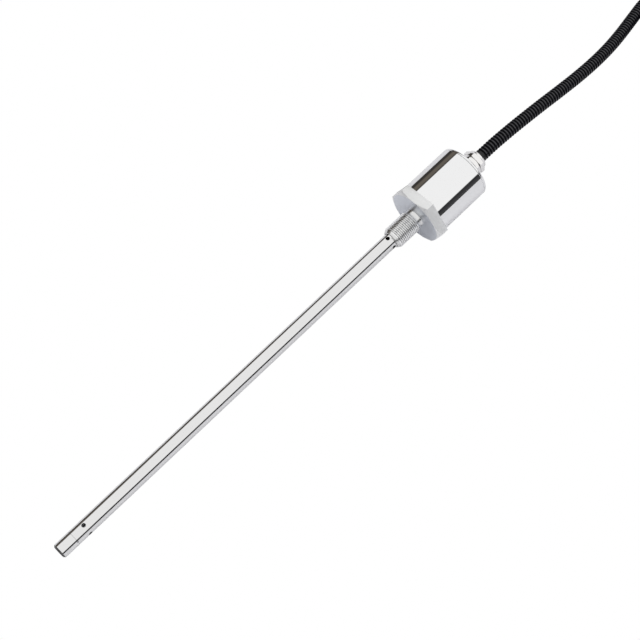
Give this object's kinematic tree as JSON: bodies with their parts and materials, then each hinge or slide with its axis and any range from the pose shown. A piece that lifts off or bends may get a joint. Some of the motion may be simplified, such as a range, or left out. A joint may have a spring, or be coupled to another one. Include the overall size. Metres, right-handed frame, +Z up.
{
  "type": "capacitive liquid level sensor",
  "caption": "Coaxial rod-in-tube level probe under a threaded hexagon flange, with a round steel electronics head and a corrugated cable conduit ending in a moulded connector.",
  "frame": {"origin": "bottom centre of the bounding box of the sensor without its conduit: on the floor, below the probe, in the plane of the probe's axis", "axes": "+X along the probe towards the head and the cable gland, +Z up; the sensor lies on its tip and on one flat of its flange, so its own axis rises 2.6 degrees towards +X"},
  "size_m": [0.9682, 0.1069, 0.0546],
  "materials": {
    "polished_steel": "polished stainless steel",
    "satin_steel": "satin turned stainless steel",
    "nickel_plated_brass": "bright nickel plating over brass",
    "white_insulator": "white fluoropolymer",
    "black_insulator": "black engineering plastic",
    "black_rubber": "matt black rubber",
    "conduit_black": "black polyamide",
    "board_green": "green solder mask",
    "chip_black": "black moulding compound",
    "tinned_copper": "tinned contact metal",
    "block_green": "green moulded plastic",
    "grey_connector": "pale grey moulded plastic",
    "lock_orange": "orange moulded plastic",
    "brown_lead": "brown lead insulation",
    "yellow_lead": "yellow lead insulation",
    "black_lead": "black lead insulation"
  },
  "bodies": {
    "root": {"blade_1": "tinned_copper", "blade_2": "tinned_copper", "blade_3": "tinned_copper", "board_link": "chip_black", "board_screw_1": "nickel_plated_brass", "board_screw_2": "nickel_plated_brass", "board_screw_3": "nickel_plated_brass", "bush_seal": "black_rubber", "cap_seal": "black_rubber", "clamp_washer": "satin_steel", "conduit_cuff": "conduit_black", "conduit_run": "conduit_black", "conduit_tie": "conduit_black", "connector_boot": "black_rubber", "connector_housing": "grey_connector", "contact_lug": "tinned_copper", "controller_chip": "chip_black", "end_cap": "polished_steel", "feed_through_bush": "white_insulator", "filter_capacitor": "satin_steel", "gland_body": "nickel_plated_brass", "gland_lock_nut": "nickel_plated_brass", "gland_nut": "nickel_plated_brass", "gland_seal": "black_rubber", "ground_lead": "black_lead", "head_housing": "polished_steel", "inner_electrode": "satin_steel", "lower_pillar_1": "nickel_plated_brass", "lower_pillar_2": "nickel_plated_brass", "lower_pillar_3": "nickel_plated_brass", "measuring_board": "board_green", "measuring_chip": "chip_black", "output_board": "board_green", "probe_tube": "polished_steel", "process_flange": "satin_steel", "rod_nut": "satin_steel", "rod_seal": "black_rubber", "signal_lead": "yellow_lead", "spacer_1": "white_insulator", "spacer_2": "white_insulator", "supply_lead": "brown_lead", "tail_ground_lead": "black_lead", "tail_signal_lead": "yellow_lead", "tail_supply_lead": "brown_lead", "terminal_block": "block_green", "terminal_lock": "lock_orange", "tip_bush": "polished_steel", "tip_insulator": "black_insulator", "upper_pillar_1": "nickel_plated_brass", "upper_pillar_2": "nickel_plated_brass", "upper_pillar_3": "nickel_plated_brass"}
  },
  "joints": []
}
